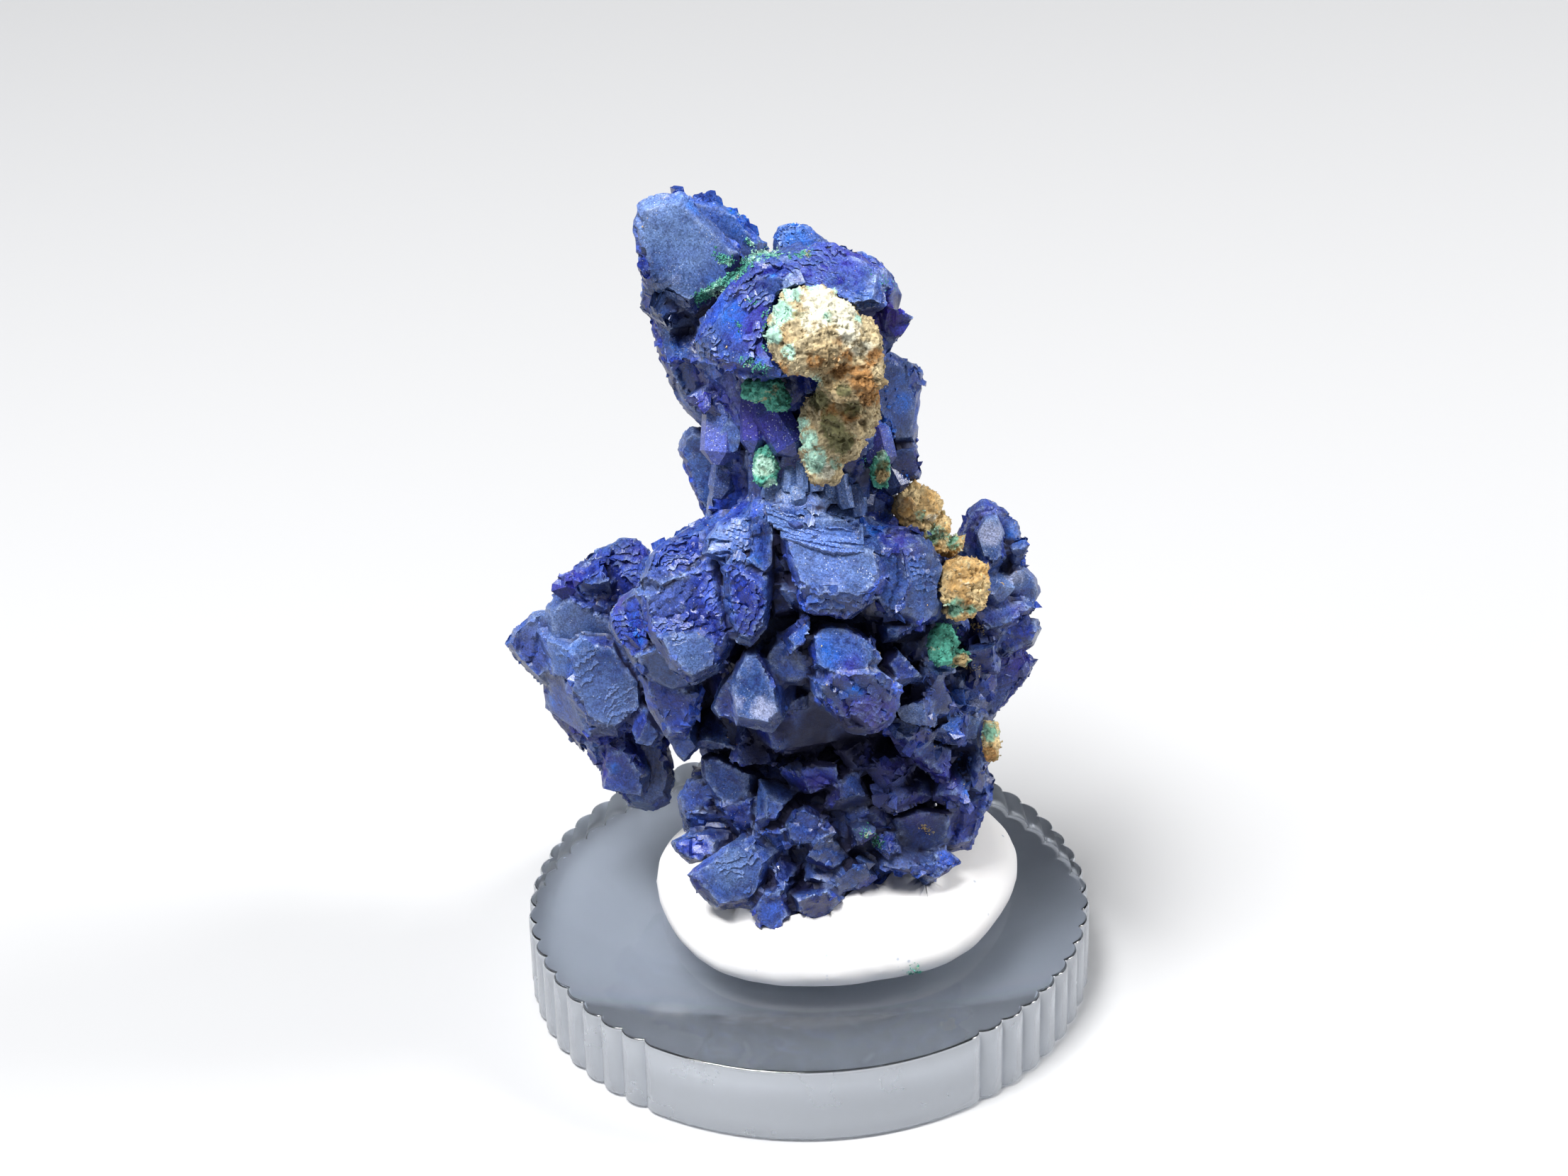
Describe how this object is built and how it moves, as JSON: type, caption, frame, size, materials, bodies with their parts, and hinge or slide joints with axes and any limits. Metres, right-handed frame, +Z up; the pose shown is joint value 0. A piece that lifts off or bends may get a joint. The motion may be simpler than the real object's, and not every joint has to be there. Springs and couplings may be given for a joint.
{
  "type": "azurite mineral specimen on a display base",
  "caption": "Clustered azurite crystals with lumps of limonite and malachite, set in white putty on a round clear fluted base.",
  "frame": {"origin": "centre of the base's underside", "axes": "+Z up, -Y towards the front of the specimen, +X to the viewer's right"},
  "size_m": [0.0326, 0.0318, 0.0496],
  "materials": {
    "azurite": "flat crystal faces with a soft sheen",
    "limonite": "dull, earthy and crumbly",
    "malachite": "dull green with pale edges",
    "putty": "matt white",
    "acrylic": "clear and polished"
  },
  "bodies": {
    "root": {"azurite_cluster": "azurite", "limonite_head_lump": "limonite", "limonite_shoulder_lump": "limonite", "limonite_side_lump": "limonite", "limonite_low_flake": "limonite", "malachite_tuft": "malachite", "malachite_left_bud": "malachite", "malachite_right_bud": "malachite", "malachite_side_flake": "malachite", "mounting_putty": "putty", "acrylic_base": "acrylic"}
  },
  "joints": []
}
